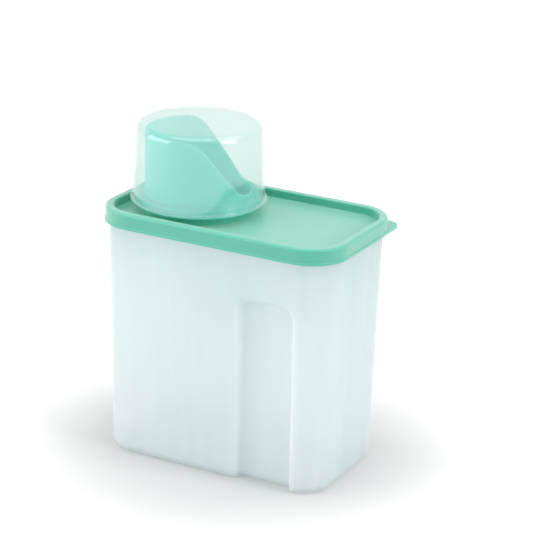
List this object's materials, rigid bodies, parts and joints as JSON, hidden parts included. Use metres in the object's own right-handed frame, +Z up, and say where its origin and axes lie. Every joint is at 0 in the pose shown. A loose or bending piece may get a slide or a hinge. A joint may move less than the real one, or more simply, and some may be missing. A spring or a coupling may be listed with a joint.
{
  "type": "laundry powder container",
  "caption": "Tall frosted box with finger recesses, a press-on lid, a slanted pouring spout and a clear measuring cup that caps it.",
  "frame": {"origin": "middle of the base, on the surface that the container stands on", "axes": "+Z up, +X along the box from the spout towards the pull tab, +Y from the front broad side to the back"},
  "size_m": [0.172, 0.1038, 0.2201],
  "materials": {
    "frosted_polypropylene": "frosted, translucent, injection moulded",
    "mint_lid_plastic": "satin, injection moulded",
    "mint_spout_plastic": "satin, injection moulded",
    "clear_cup_plastic": "clear, polished, injection moulded"
  },
  "bodies": {
    "container": {"container": "frosted_polypropylene"},
    "lid": {"lid": "mint_lid_plastic"},
    "spout": {"spout": "mint_spout_plastic"},
    "measuring_cup": {"measuring_cup": "clear_cup_plastic"}
  },
  "joints": [
    {"name": "lid_lift", "type": "slide", "parent": "container", "child": "lid", "axis": [0, 0, 1], "range_m": [0, 0.06]},
    {"name": "spout_turn", "type": "hinge", "parent": "lid", "child": "spout", "pos_m": [-0.0352, 0, 0.167], "axis": [0, 0, 1], "continuous": true},
    {"name": "cup_lift", "type": "slide", "parent": "spout", "child": "measuring_cup", "axis": [0, 0, 1], "range_m": [0, 0.07]}
  ]
}
